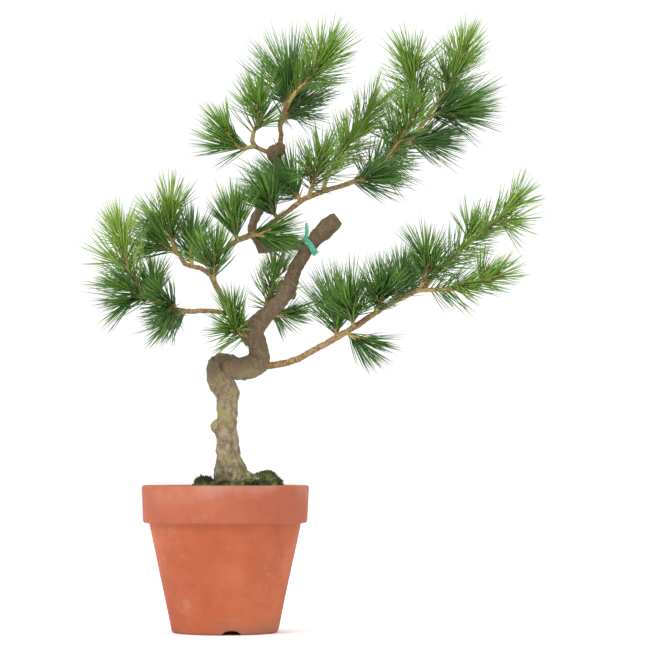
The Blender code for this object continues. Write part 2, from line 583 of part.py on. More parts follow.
def main():
    clear_scene()
    bark, young_bark, green = material("bark", BARK), material("young_bark", YOUNG_BARK), material("needles", NEEDLE)
    room, limbs = Room(), {}
    finish(make_pot(), material("clay", CLAY))
    finish(make_soil(), material("earth", EARTH))
    mounds = [mound(*row) for row in MOSS_MOUNDS]
    moss = combine(mounds[0], mounds[1:], "UNION")
    moss.name = "moss"
    finish(combine(moss, [make_trunk(grown=True)], "DIFFERENCE"), material("moss", MOSS))
    finish(make_trunk(), bark)
    for stations in (TRUNK_FOOT, TRUNK_LIMB):
        room.take("trunk", smooth_path(stations, TRUNK_STEP))
    finish(tie_band("tie", 0), material("tie_plastic", TIE))
    room.take("tie", np.array([(78, 3, 375, TIE_HALF_LENGTH + 1), (84, 3, 364, TIE_HALF_LENGTH + 1)], float))
    for name, stations in BOUGHS:
        finish(make_bough(name, smooth_path(stations, 8), room, limbs), bark if "leader" in name else young_bark)
    met = {}
    for name, points, *habit in MASSES:
        stem = stem_of(points)
        met[name] = room.met_by(name, stem)
        room.take(name, stem)
        limbs[name] = (stem, STEM_SIDES)
    for index, (name, points, *habit) in enumerate(MASSES):
        finish(make_mass(index, name, habit, limbs[name][0], room, limbs, met[name]), green)


main()
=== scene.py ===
"""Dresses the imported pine: rough bark, shoots full of slender needle pairs, a turned clay pot and moss.

Lengths are in millimetres, in the plant's own frame: X to its right, Y to its back and Z up from
the centre of the pot's flat underside. Limbs and shoots stand where the solids have theirs.
"""
import math

import bpy
import numpy as np
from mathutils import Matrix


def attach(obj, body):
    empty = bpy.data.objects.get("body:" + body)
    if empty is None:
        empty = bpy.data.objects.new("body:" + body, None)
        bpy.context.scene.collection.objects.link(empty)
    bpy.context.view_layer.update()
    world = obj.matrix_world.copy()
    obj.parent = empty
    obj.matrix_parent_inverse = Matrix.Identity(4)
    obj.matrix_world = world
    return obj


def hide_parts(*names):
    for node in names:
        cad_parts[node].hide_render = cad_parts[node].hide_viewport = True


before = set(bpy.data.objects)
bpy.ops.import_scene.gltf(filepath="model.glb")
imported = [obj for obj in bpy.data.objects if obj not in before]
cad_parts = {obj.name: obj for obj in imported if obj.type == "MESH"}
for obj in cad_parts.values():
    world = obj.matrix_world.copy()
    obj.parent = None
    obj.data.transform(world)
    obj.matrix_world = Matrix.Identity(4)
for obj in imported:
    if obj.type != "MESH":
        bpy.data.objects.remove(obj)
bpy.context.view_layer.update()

METRES_PER_MM = 0.001
GOLDEN_ANGLE = math.radians(137.5)
UP = np.array((0.0, 0.0, 1.0))
BACK = np.array((0.0, 1.0, 0.0))

# Small vectors that keep a direction defined where others cancel out or run the same way
LIFT = UP * 0.01
NUDGE = LIFT + BACK * 0.003

# How steeply a path may start before its rings are measured from the back and not from above, and
# the direction, unlike every stem's, from which bearings round a stem are measured
STEEP = 0.9
BEARING_START = (0.31, 0.95, 0.1)

# Noise: how many sines it adds up, and how their rates vary about its size
RIPPLE_WAVES = 14
RIPPLE_RATES = (0.6, 1.7)

# Pot
POT_HEIGHT = 140.0
RIM_RADIUS = 80.0
RIM_FOOT_RADIUS = 78.6
RIM_HEIGHT = 36.0
RIM_ROUNDING = 3.0
RIM_UNDERCUT = 0.6
LIP_ROUNDING = 2.5
LIP_DEPTH = 3.0
BODY_TOP_RADIUS = 72.4
BASE_RADIUS = 50.8
BASE_BEVEL = 1.6
BASE_RING = 14.0
HUB_RADIUS = 4.0
BORE_TOP_RADIUS = 71.5
BORE_FLOOR_RADIUS = 44.0
FLOOR_THICKNESS = 9.0
NOTCH_WIDTH = 18.0
NOTCH_HEIGHT = 4.4
NOTCH_DEPTH = 22.0
NOTCH_BEARINGS = (-81.0, 39.0, 159.0)
POT_SIDES = 216
POT_STEP = 2.0
TURNING_DEPTH = 0.10
TURNING_RATE = 1.1
TURNING_SWAY = 0.4
CLAY_WAVER = 0.16
CLAY_WAVER_SIZE = 60.0
STEADY_HEIGHT = 1.0
WAVER_RISE = 6.0

# Soil
SOIL_LEVEL = 136.0
SOIL_RADIUS = 69.0
SOIL_HUB = 1.0
SOIL_FLAT_RADIUS = 62.0
SOIL_EDGE_DROP = 4.0
SOIL_EDGE_LEVEL = 131.0
SOIL_EDGE_RISE = 0.5
SOIL_FOOT_LEVEL = 110.0
SOIL_WALL_GAP = 0.6
SOIL_RINGS = 60
SOIL_SIDES = 180
CRUMB_SIZES = (5.0, 14.0)
CRUMB_HEIGHT = 0.5

# Moss
MOSS_MOUNDS = (
    # x, y, half width, half depth, height
    (39, 2, 19, 17, 17),
    (25, -19, 15, 12, 9),
    (0, -23, 17, 11, 8),
    (-20, -3, 13, 15, 12),
    (-7, 20, 15, 13, 9),
    (20, 23, 18, 12, 12),
)
MOUND_SIDES = 64
MOUND_RINGS = 26
MOUND_TOP = 0.03
MOUND_BROADNESS = 2.2
MOUND_STEEPNESS = 0.7
MOUND_SUNK = 1.0
MOUND_LUMPS = (6.0, 15.0)
TUFTS_PER_MOUND = 620
TUFT_LENGTHS = (1.2, 3.4)
TUFT_WIDTHS = (0.5, 1.1)
TUFT_SUNK = 0.5
TUFT_CURL = 0.1
TUFT_RISE = 0.6
TUFT_SCATTER = 0.45

# Trunk: the foot and its curl, then the thick limb that leaves the curl and ends in a cut stub,
# each as stations of x, y, z and radius
TRUNK_FOOT = (
    (9, 0, 126, 23), (8, 0, 136, 18.5), (6, 0, 145, 16.4), (5, 0, 154, 15.2), (3, 0, 166, 12.2),
    (2, 0, 178, 10.6), (1, 0, 193, 10.1), (2, 0, 219, 10.3), (1, -1, 230, 11.4), (-5, -4, 239, 11.3),
    (-10, -3, 249, 8.2), (-8, 2, 257, 7.8), (-2, 5, 259, 7.8), (6, 6, 256, 7.8), (13, 4, 252, 7),
)
TRUNK_LIMB = (
    (-4, -3, 248.5, 3.5), (-1, -3, 249, 8.3), (6, -3, 250, 9.2), (15, -1, 251, 10.6), (23, 0, 253, 11.6),
    (31, 1, 258, 11.2), (32, 2, 267, 9.4), (30, 2, 276, 9.5), (25, 1, 286, 11.5), (30, 0, 293, 9.8),
    (39, -1, 303, 7.6), (47, -1, 311, 7.1), (56, 0, 321, 7.6), (60, 0, 328, 7.8), (64, 1, 340, 6.8),
    (69, 2, 352, 6.4), (77, 3, 364, 6.5), (85, 3, 375, 7), (92, 3, 382, 8.3), (98, 3, 388, 8.8),
    (104, 3, 393, 8), (108, 3, 396, 6.5),
)
KNOTS = (
    # x, y, z, radius
    (-7, -2, 196, 6.5),
    (-4, -4, 225, 5.0),
    (64, -2, 322, 4.0),
)
KNOT_SIDES = 36
KNOT_RINGS = 22
KNOT_POLE = 0.04
KNOT_RELIEF = 0.6
KNOT_GRAIN = 4.0

# Root spurs: how far each reaches sideways from its start inside the trunk, then the x, y, z and radius
# of that start, and the share of the reach, the height and the radius at its knee and at its end
ROOT_SPURS = ((30, -12), (-14, -13), (-12, 14), (24, 18))
SPUR_START = (8.0, 0.0, 152.0, 8.0)
SPUR_KNEE = (0.6, 142.0, 8.0)
SPUR_END = (1.0, 134.0, 6.0)

# Bark on each kind of limb: step along it, sides, relief and grain
FOOT_BARK = (1.0, 88, 0.75, 6.0)
LIMB_BARK = (1.0, 80, 0.55, 5.0)
SPUR_BARK = (1.2, 44, 0.8, 6.0)
LEADER_BARK = (0.9, 40, 0.5, 5.0)
BOUGH_BARK = (0.9, 22, 0.42, 3.2)
FULL_RELIEF_RADIUS = 4.0
LEAST_RELIEF = 0.25
FINE_RIDGES = 0.6
BROAD_RIDGES = 0.7
BROAD_SIZE = 2.6
PIT_SIZE = 0.55
PIT_LEVEL = 0.7
PIT_DEPTH = 1.2

# Boughs: name, then stations of x, y, z and radius
BOUGHS = (
    ("leader_low",
     ((77, 3, 367, 5.6), (68, 2, 371, 5.8), (57, 1, 371, 6), (44, 0, 370, 6.2), (35, 0, 368, 6),
      (30, 0, 366, 4.6))),
    ("leader_high",
     ((35, 2, 370, 4.8), (25, 5, 386, 4.4), (30, 9, 401, 4.3), (37, 12, 413, 4.1), (45, 14, 425, 3.9),
      (49, 14, 440, 3.8), (48, 12, 451, 4.6), (46, 10, 460, 7.2), (51, 10, 465, 6.6), (53, 10, 470, 3.4))),
    ("crown_twig",
     ((51, 10, 464, 2.6), (53, 9, 479, 2.3), (52, 8, 488, 2.3), (54, 8, 494, 2.9), (57, 7, 502, 2.3),
      (60, 6, 509, 2.5))),
    ("crown_left_twig",
     ((46, 10, 461, 2.8), (34, 4, 463, 2.2), (28, 0, 466, 2.2), (25, -2, 471, 2.4))),
    ("fork_bough",
     ((27, 1, 288, 3.2), (17, 1, 296, 3), (8, -4, 304, 2.8), (1, -9, 312, 2.7), (-3, -13, 320, 2.6),
      (-11, -18, 335, 2.6), (-14, -18, 342, 2.8))),
    ("left_arm",
     ((-13, -18, 340, 2.3), (-24, -14, 347, 2.3), (-32, -8, 349, 2.1), (-40, 0, 353, 2.1), (-44, 7, 360, 2),
      (-48, 11, 365, 2))),
    ("upper_bough",
     ((-14, -18, 341, 2.5), (-8, -19, 358, 2.4), (1, -19, 365, 2.4), (10, -18, 372, 2.3), (21, -18, 377, 2.8),
      (39, -17, 386, 2.3), (53, -16, 396, 2.3), (74, -12, 413, 2.5))),
    ("upper_bough_end",
     ((74, -12, 413, 2.5), (93, -8, 421, 2.4), (124, 0, 432, 2.3), (141, 5, 442, 2.2), (154, 9, 452, 2.2),
      (169, 14, 467, 2.1), (184, 18, 482, 2.1), (194, 20, 496, 2.4))),
    ("low_left_bough",
     ((25, -3, 290, 2.8), (15, -9, 297, 2.6), (3, -18, 303, 2.3), (-11, -26, 305, 2.2), (-44, -40, 305, 2.2),
      (-60, -45, 310, 1.9), (-73, -48, 318, 2.2))),
    ("right_bough",
     ((33, 2, 254, 3.4), (48, -2, 255, 3.3), (66, -8, 259, 3.1), (84, -15, 268, 3), (101, -21, 277, 2.9),
      (125, -28, 291, 2.9), (153, -33, 309, 2.3), (183, -36, 324, 2.2), (192, -37, 329, 2.4))),
)

# Masses of needles: name and the stem's points, then the count of sprays, the needles' length,
# their spread from the stem in degrees, the way they lean, and how young they are from 0 to 1
MASSES = (
    ("crown_right", ((60, 6, 509), (69, 4, 521), (79, 2, 530), (99, -5, 554)),
     22, 47, 56, (0, 0, 0.1), 0.75),
    ("crown_top", ((57, 7, 503), (60, 13, 516), (66, 18, 530)),
     20, 66, 56, (-0.65, 0, 0.15), 0.3),
    ("crown_back", ((53, 9, 489), (60, 24, 501), (71, 42, 516)),
     17, 56, 56, (0.3, 0.2, 0), 0.2),
    ("crown_left_up", ((25, -2, 471), (28, -6, 482), (33, -8, 489), (35, -12, 509)),
     16, 45, 54, (-0.2, 0, 0.1), 0.6),
    ("crown_left_out", ((28, 0, 466), (15, -9, 463), (7, -18, 468), (2, -26, 477)),
     15, 43, 50, (-0.35, 0, 0.35), 0.6),
    ("node_fan", ((12, -18, 373), (10, -27, 380), (9, -34, 388)),
     13, 50, 50, (-0.15, -0.1, 0.6), 0.4),
    ("leader_fan", ((24, -18, 379), (33, -30, 377), (41, -37, 374)),
     11, 48, 60, (0.8, -0.1, 0), 0.2),
    ("bough_fan", ((72, -12, 411), (68, -2, 420), (63, 8, 430)),
     19, 57, 62, (-0.55, 0.1, 0.3), 0.15),
    ("bough_front_fan", ((50, -16, 394), (45, -25, 402), (41, -32, 411)),
     14, 46, 58, (-0.35, -0.1, 0.3), 0.2),
    ("bough_low_shoot", ((80, -11, 416), (84, -23, 427), (94, -40, 453)),
     16, 42, 56, (0, 0, 0), 0.5),
    ("bough_long_shoot", ((93, -8, 421), (99, 8, 440), (109, 20, 457), (142, 43, 510)),
     25, 46, 54, (0, 0, 0), 0.9),
    ("bough_back_shoot", ((124, 0, 432), (140, 24, 446), (167, 57, 472)),
     18, 48, 56, (0, 0.1, 0), 0.4),
    ("bough_front_shoot", ((154, 9, 452), (164, -12, 465), (180, -36, 493)),
     18, 46, 56, (0, 0, 0), 0.5),
    ("bough_under_fan", ((118, -2, 430), (128, -14, 431), (141, -26, 433)),
     13, 50, 60, (0.7, -0.1, 0), 0.15),
    ("bough_mid_fan", ((172, 15, 470), (184, 27, 474), (197, 38, 479)),
     15, 52, 62, (0.5, 0.1, 0), 0.2),
    ("bough_side_shoot", ((191, 19, 492), (186, 10, 512), (181, 2, 530), (177, -4, 548)),
     20, 44, 58, (-0.1, 0, 0), 0.7),
    ("bough_tip_shoot", ((195, 20, 498), (207, 25, 514), (220, 28, 533), (232, 31, 566)),
     25, 43, 54, (0, 0, 0), 0.85),
    ("bough_tip_fan", ((194, 20, 495), (207, 10, 500), (220, 2, 504)),
     16, 62, 60, (0.55, -0.1, 0.1), 0.2),
    ("fork_bud_fan", ((-10, -17, 333), (-10, -28, 346), (-9, -35, 356)),
     13, 46, 54, (0, 0, 0.4), 0.4),
    ("arm_up_shoot", ((-48, 11, 365), (-52, 13, 374), (-55, 16, 396), (-54, 17, 409)),
     19, 43, 50, (0, 0, 0), 0.8),
    ("arm_out_shoot", ((-46, 9, 362), (-57, 3, 369), (-65, -3, 380)),
     14, 44, 54, (-0.4, 0, 0), 0.4),
    ("arm_back_fan", ((-32, -8, 349), (-34, 8, 362), (-35, 24, 377)),
     15, 48, 50, (0, 0.1, 0.3), 0.1),
    ("low_left_up", ((-73, -48, 318), (-89, -52, 341), (-95, -54, 370), (-98, -55, 380)),
     21, 41, 52, (0, 0, 0), 0.95),
    ("low_left_out", ((-66, -46, 314), (-79, -58, 318), (-90, -69, 325)),
     15, 46, 54, (-0.3, -0.1, -0.15), 0.3),
    ("low_left_bud", ((-60, -45, 310), (-66, -36, 322), (-68, -28, 334)),
     14, 38, 54, (0, 0.1, 0.2), 0.4),
    ("low_left_fan", ((-44, -40, 305), (-48, -52, 309), (-54, -62, 315)),
     13, 42, 58, (-0.3, -0.1, -0.3), 0.1),
    ("low_left_hang", ((-33, -36, 305), (-41, -27, 303), (-50, -18, 299)),
     11, 42, 50, (-0.4, 0.1, -0.2), 0.1),
    ("trunk_bud_fan", ((25, -1, 282), (12, -15, 287), (9, -22, 296), (8, -26, 303)),
     17, 39, 66, (-0.1, -0.1, 0.2), 0.5),
    ("trunk_back_fan", ((37, 0, 303), (40, 14, 317), (44, 19, 333), (48, 22, 350)),
     16, 36, 60, (-0.1, 0.1, 0.1), 0.8),
    ("trunk_right_fan", ((42, 1, 305), (50, 15, 303), (60, 26, 305)),
     11, 32, 60, (0.4, 0.2, 0), 0.3),
    ("right_tall_fan", ((105, -22, 279), (108, -14, 290), (111, -4, 301)),
     16, 61, 58, (-0.4, 0, 0.5), 0.4),
    ("right_whorl_fan", ((123, -28, 290), (120, -37, 299), (118, -44, 306)),
     14, 58, 60, (-0.1, -0.1, 0.4), 0.3),
    ("right_hang", ((116, -26, 286), (121, -33, 280), (127, -38, 276)),
     7, 46, 44, (0.5, -0.1, -0.3), 0.1),
    ("right_brush", ((143, -31, 303), (147, -44, 313), (152, -55, 323)),
     16, 47, 60, (-0.1, -0.1, 0.3), 0.2),
    ("right_back_brush", ((159, -34, 312), (166, -20, 324), (175, -8, 337)),
     17, 47, 60, (0, 0.2, 0.2), 0.2),
    ("right_cluster", ((186, -36, 326), (191, -46, 342), (190, -53, 356)),
     16, 44, 56, (0, 0, 0), 0.4),
    ("right_upper_shoot", ((192, -37, 329), (202, -34, 342), (241, -20, 377), (280, -6, 413)),
     28, 40, 50, (0, 0, 0), 0.8),
    ("right_lower_shoot", ((182, -36, 324), (200, -46, 324), (225, -56, 325), (257, -65, 336)),
     19, 38, 50, (0, 0, 0), 0.7),
)

# Stems and twigs
STEM_ROOT_RADIUS = 2.0
STEM_TIP_RADIUS = 1.3
STEM_STEP = 3.0
STEM_SIDES = 18
SCALE_STEP = 0.7
SCALE_HEIGHT = 0.45
SCALE_ROWS = (5, 3)
SCALE_RATES = (2.1, 2.6)
TWIG_SHARES = (0.45, 0.75)
SHORT_STEM = 50.0
TWIG_LENGTH = 15.0
TWIG_ANGLE = math.radians(42)
TWIG_RADII = (1.2, 1.02, 0.84)
BUD_LENGTH = 7.5
BUD_SWELL = 1.35
BUD_TIP_RADIUS = 0.15
BUD_SIDES = 10
BUD_RINGS = 12
BUD_SPAN = (0.03, 0.99)
BUD_POWER = 0.8

# Needle pairs
PAIRS_PER_SPRAY = 6
FIRST_NEEDLE = 0.16
LAST_NEEDLE = 0.99
CROWDING = 0.85
TWIG_EVERY = 4
TWIG_NEEDLES = (0.25, 1.0)
TIP_SPREAD = 24.0
SPREAD_CHANCE = 22.0
SPREAD_LIMITS = (3, 90)
BEARING_CHANCE = 0.5
LENGTH_CHANCE = (0.74, 1.08)
CURVE_CHANCE = (0.0, 0.16)
SAG_CHANCE = (-0.06, 0.05)
PAIR_ANGLE = 0.075
PARTNER_LENGTHS = (0.95, 1.0)
NEEDLE_WIDTH = 1.3
NEEDLE_FLATNESS = 0.7
NEEDLE_RINGS = (0.0, 0.3, 0.65)
NEEDLE_SWELL = (0.8, 1.0, 0.85)
NEEDLE_SIDES = 3
SHEATH_LENGTH = 7.2
SHEATH_WIDTH = 1.9

# Needle colours from old to young, and the youth that each stands for; the first and darkest is painted
# shade, given to the needles of least youth near the stems' feet
NEEDLE_TONES = (
    ("needles_shade", (0.030, 0.085, 0.020), -0.2),
    ("needles_old", (0.055, 0.145, 0.026), 0.15),
    ("needles_grown", (0.100, 0.225, 0.030), 0.45),
    ("needles_fresh", (0.170, 0.315, 0.040), 0.75),
    ("needles_young", (0.265, 0.405, 0.055), 1.0),
)
YOUTH_OF_MASS = 0.75
YOUTH_TO_TIP = 0.35
YOUTH_CHANCE = 0.17
YOUTH_START = -0.1

# Plastic tie round the trunk at the leader. Its section's corners go across the band, in half widths,
# and out of it, in millimetres.
TIE_CENTRE = (80.8, 3.0, 369.6)
TIE_HALF_LENGTH = 9.9
TIE_HALF_DEPTH = 8.2
TIE_BAND = 6.0
TIE_TILT = math.radians(52)
TIE_SWAY = 0.5
TIE_SWAYS = 3
TIE_SIDES = 72
TIE_SECTION = ((-1, -0.3), (0, -0.2), (1, -0.3), (1, 0.4), (0.3, 0.3), (-0.3, 0.75), (-1, 0.3))
TIE_END = ((77, -5.5, 375, 1.6), (78, -6.2, 382, 1.8), (77.5, -6.0, 391, 1.2))
TIE_END_FLATNESS = (1.0, 0.25, 1.0)
TIE_END_STEP = 0.8
TIE_END_SIDES = 12

# Seeds of the noise on each form, and of the chances that tufts and needles take
SEEDS = {"clay": 5, "needle_sides": 9, "foot": 11, "limb": 21, "knots": 30, "spurs": 40, "boughs": 60,
         "soil": 70, "tufts": 77, "moss": 80, "moss_broad": 90, "masses": 500}

# Heights, in metres, between which a finish sets in or, where the first is the greater, fades out
COLLAR_HEIGHTS = (0.100, 0.108)
BLOOM_HEIGHTS = (0.118, 0.137)
# Heights over which the pot darkens in patches towards its foot
FOOT_DARK_HEIGHTS = (0.022, 0.0)
DARK_BARK_HEIGHTS = (0.235, 0.285)
LICHEN_HEIGHTS = (0.29, 0.20)
BARK_MOSS_HEIGHTS = (0.172, 0.142)

# Colours of the finishes
CLAY = (0.40, 0.10, 0.035)
CLAY_DEEP = (0.37, 0.078, 0.026)
CLAY_LIGHT = (0.45, 0.115, 0.044)
CLAY_DULL = (0.28, 0.066, 0.030)
CLAY_RIM = (0.33, 0.088, 0.052)
CLAY_BLOOM = (0.46, 0.26, 0.20)
CLAY_SCUFF = (0.50, 0.26, 0.17)
CLAY_SPECK = (0.09, 0.035, 0.020)
# Darker tone patched onto the pot's foot
CLAY_FOOT_DARK = (0.20, 0.12, 0.075)
BARK_LOW = (0.34, 0.27, 0.17)
BARK_HIGH = (0.135, 0.088, 0.048)
BARK_FLAKE = (0.27, 0.20, 0.125)
BARK_FURROW = (0.09, 0.06, 0.035)
BARK_PIT = (0.035, 0.024, 0.014)
LICHEN = (0.27, 0.26, 0.085)
BARK_MOSS = (0.045, 0.050, 0.016)
YOUNG_BARK = (0.30, 0.15, 0.06)
SCALE_DARK = (0.16, 0.075, 0.03)
SCALE_PALE = (0.40, 0.24, 0.11)
SCALE_GREEN = (0.33, 0.32, 0.09)
STEM_NEW = (0.36, 0.34, 0.10)
STEM_GREEN = (0.38, 0.36, 0.10)
STEM_SCALE = (0.36, 0.17, 0.06)
BUD = (0.30, 0.15, 0.06)
BUD_DARK = (0.22, 0.09, 0.035)
BUD_PAPER = (0.50, 0.33, 0.17)
EARTH = (0.03, 0.02, 0.013)
EARTH_DARK = (0.022, 0.015, 0.010)
EARTH_PALE = (0.095, 0.060, 0.035)
MOSS = (0.07, 0.10, 0.02)
MOSS_DARK = (0.035, 0.030, 0.012)
MOSS_GREEN = (0.12, 0.19, 0.03)
MOSS_LITTER = (0.06, 0.035, 0.02)
TIE_GREEN = (0.10, 0.50, 0.32)
TIE_DEEP = (0.07, 0.42, 0.27)
TIE_PALE = (0.20, 0.62, 0.44)
FLOOR_WHITE = (0.96, 0.96, 0.96)

# Camera, lights and surroundings; places here are in metres
CAMERA_PLACE = (0.0954, -2.42, 0.1591)
CAMERA_TILT = math.radians(3.174)
FOCAL_LENGTH = 139.85
SENSOR_WIDTH = 36.0
LIGHTS = (
    # name, place, size, watts
    ("key", (-1.3, -1.5, 1.9), 1.0, 34),
    ("fill", (1.6, -1.3, 1.2), 1.5, 8),
    ("top", (0.1, 0.7, 2.2), 1.4, 14),
)
LIGHTS_AIM = (0.08, 0.0, 0.3)
SKY_STRENGTH = 1.06
FLOOR_REACH = 40


class Value:
    """A shader number that arithmetic can be written on."""

    def __init__(self, finish, socket):
        self.finish, self.socket = finish, socket

    def math(self, operation, other):
        """The result of one operation on this value and another."""
        node = self.finish.node("ShaderNodeMath", {"operation": operation}, {0: self, 1: other})
        return Value(self.finish, node.outputs[0])

    def __add__(self, other):
        return self.math("ADD", other)

    def __mul__(self, other):
        return self.math("MULTIPLY", other)

    __radd__, __rmul__ = __add__, __mul__


class Finish:
    """One material: its nodes, made through a single method, and its Principled shader."""

    def __init__(self, name, colour, roughness):
        self.material = bpy.data.materials.new(name)
        self.material.use_nodes = True
        self.tree = self.material.node_tree
        self.shader = self.tree.nodes["Principled BSDF"]
        self.shader.inputs["Base Color"].default_value = (*colour, 1.0)
        self.shader.inputs["Roughness"].default_value = roughness
        self.place = None

    def node(self, kind, settings, inputs):
        """A node of a kind, with its settings, then with a value or a link on each named socket."""
        made = self.tree.nodes.new(kind)
        for name, setting in settings.items():
            setattr(made, name, setting)
        for key, given in inputs.items():
            if isinstance(given, Value):
                given = given.socket
            if isinstance(given, bpy.types.NodeSocket):
                self.tree.links.new(given, made.inputs[key])
            else:
                made.inputs[key].default_value = given
        return made

    def position(self):
        """Object coordinates, in metres from the middle of the pot's underside."""
        if self.place is None:
            self.place = self.node("ShaderNodeTexCoord", {}, {}).outputs["Object"]
        return self.place

    def noise(self, scale, detail=3.0, crowding=(1, 1, 1)):
        """Noise from 0 to 1 with so many features to a metre, times the crowding along each axis."""
        at = self.node("ShaderNodeMapping", {}, {"Vector": self.position(), "Scale": crowding}).outputs[0]
        made = self.node("ShaderNodeTexNoise", {},
                         {"Vector": at, "Scale": scale, "Detail": detail, "Roughness": 0.6})
        return Value(self, made.outputs[0])

    def height(self):
        """Height above the pot's underside, in metres."""
        return Value(self, self.node("ShaderNodeSeparateXYZ", {}, {0: self.position()}).outputs[2])

    def between(self, value, low, high):
        """0 up to low, 1 from high, and smooth between; 1 to 0 where low is the greater."""
        made = self.node("ShaderNodeMapRange", {"interpolation_type": "SMOOTHSTEP"},
                         {"Value": value, "From Min": low, "From Max": high})
        return Value(self, made.outputs[0])

    def mix(self, share, first, second):
        """The first colour where share is 0, and the second where it is 1."""
        given = [(*c, 1.0) if isinstance(c, tuple) else c for c in (first, second)]
        made = self.node("ShaderNodeMix", {"data_type": "RGBA"}, {0: share, 6: given[0], 7: given[1]})
        return made.outputs[2]

    def paint(self, colour):
        """Gives the surface a colour that changes over it."""
        self.tree.links.new(colour, self.shader.inputs["Base Color"])

    def roughen(self, value):
        """Gives it a roughness that changes over it."""
        self.tree.links.new(value.socket, self.shader.inputs["Roughness"])

    def bump(self, height, depth_mm):
        """Shades it as if a height of 1 stood so many millimetres proud."""
        made = self.node("ShaderNodeBump", {}, {"Height": height, "Distance": depth_mm * METRES_PER_MM})
        self.tree.links.new(made.outputs[0], self.shader.inputs["Normal"])


def clay_finish():
    """Fired clay in orange-red patches: a duller collar with pale bloom, scuffs, specks and darker patches at
    the foot.
    """
    made = Finish("clay", CLAY, 0.82)
    broad, fine, specks = made.noise(14), made.noise(90, 5), made.noise(420, 2)
    colour = made.mix(made.between(broad, 0.35, 0.7), CLAY_DEEP, CLAY_LIGHT)
    colour = made.mix(0.35 * made.between(fine, 0.5, 0.75), colour, CLAY_DULL)
    colour = made.mix(0.4 * made.between(made.height(), *COLLAR_HEIGHTS), colour, CLAY_RIM)
    bloom = made.between(made.height(), *BLOOM_HEIGHTS) * made.between(made.noise(30, 5), 0.4, 0.72)
    colour = made.mix(0.45 * bloom, colour, CLAY_BLOOM)
    colour = made.mix(0.35 * made.between(made.noise(36, 6), 0.62, 0.75), colour, CLAY_SCUFF)
    colour = made.mix(0.7 * made.between(specks, 0.70, 0.78), colour, CLAY_SPECK)
    # Darker patches on the lowest part of the pot, fading out upwards
    foot_dark = made.between(made.height(), *FOOT_DARK_HEIGHTS) * made.between(made.noise(60, 4), 0.42, 0.62)
    made.paint(made.mix(0.5 * foot_dark, colour, CLAY_FOOT_DARK))
    made.roughen(0.68 + 0.2 * made.between(fine, 0.2, 0.8))
    made.bump(0.7 * fine + 0.3 * made.noise(700, 2), 0.25)
    return made.material


def bark_finish():
    """Old bark: pale and lichened low on the trunk, brown above, dark in its pits, mossy at the soil."""
    made = Finish("bark", BARK_HIGH, 0.9)
    broad, fine, pits = made.noise(55, 4), made.noise(260, 5, (1, 1, 0.6)), made.noise(520, 3)
    base = made.mix(made.between(made.height() + 0.05 * broad, *DARK_BARK_HEIGHTS), BARK_LOW, BARK_HIGH)
    flakes = made.mix(broad, BARK_FURROW, BARK_FLAKE)
    colour = made.mix(made.between(fine, 0.38, 0.66), base, flakes)
    lichen = made.between(made.noise(75, 6), 0.52, 0.64) * made.between(made.height(), *LICHEN_HEIGHTS)
    colour = made.mix(0.8 * lichen, colour, LICHEN)
    moss = made.between(made.height(), *BARK_MOSS_HEIGHTS) * made.between(made.noise(120, 4), 0.40, 0.55)
    colour = made.mix(0.85 * moss, colour, BARK_MOSS)
    made.paint(made.mix(0.75 * made.between(pits, 0.60, 0.70), colour, BARK_PIT))
    made.bump(0.8 * fine + 0.4 * pits, 0.9)
    return made.material


def young_bark_finish():
    """Young bark: reddish brown scales with patches of yellow-green."""
    made = Finish("young_bark", YOUNG_BARK, 0.75)
    fine, patches = made.noise(620, 3), made.noise(90, 3)
    colour = made.mix(made.between(fine, 0.40, 0.62), SCALE_DARK, SCALE_PALE)
    made.paint(made.mix(0.5 * made.between(patches, 0.52, 0.66), colour, SCALE_GREEN))
    made.bump(fine, 0.6)
    return made.material


def new_stem_finish():
    """The newest stems: yellow-green with reddish scale bases."""
    made = Finish("candle", STEM_NEW, 0.6)
    fine = made.noise(700, 3)
    made.paint(made.mix(made.between(fine, 0.46, 0.60), STEM_GREEN, STEM_SCALE))
    made.bump(fine, 0.4)
    return made.material


def needle_finish(name, colour):
    """One tone of needle: a plain waxy colour."""
    made = Finish(name, colour, 0.42)
    made.shader.inputs["Specular IOR Level"].default_value = 0.35
    return made.material


def bud_finish():
    """Buds and sheaths: warm brown with pale papery edges."""
    made = Finish("bud", BUD, 0.7)
    made.paint(made.mix(made.between(made.noise(900, 2), 0.42, 0.62), BUD_DARK, BUD_PAPER))
    return made.material


def earth_finish():
    """Potting soil: near black, with paler crumbs."""
    made = Finish("earth", EARTH, 0.95)
    made.paint(made.mix(made.between(made.noise(350, 4), 0.4, 0.65), EARTH_DARK, EARTH_PALE))
    made.bump(made.noise(500, 4), 1.5)
    return made.material


def moss_finish():
    """Moss: dark and fresh patches, with specks of brown litter."""
    made = Finish("moss", MOSS, 0.9)
    patches, fine = made.noise(70, 3), made.noise(500, 3)
    colour = made.mix(made.between(patches, 0.45, 0.62), MOSS_DARK, MOSS_GREEN)
    made.paint(made.mix(0.6 * made.between(fine, 0.5, 0.7), colour, MOSS_LITTER))
    made.bump(fine, 1.2)
    return made.material


def tie_finish():
    """Mint green film with paler creases."""
    made = Finish("tie_plastic", TIE_GREEN, 0.35)
    made.paint(made.mix(made.between(made.noise(300, 2), 0.4, 0.7), TIE_DEEP, TIE_PALE))
    return made.material


def unit(vectors):
    """Vectors divided by their lengths."""
    return vectors / np.linalg.norm(vectors, axis=-1, keepdims=True)


def turns(count):
    """Angles that share a full turn evenly."""
    return 2 * math.pi * np.arange(count) / count


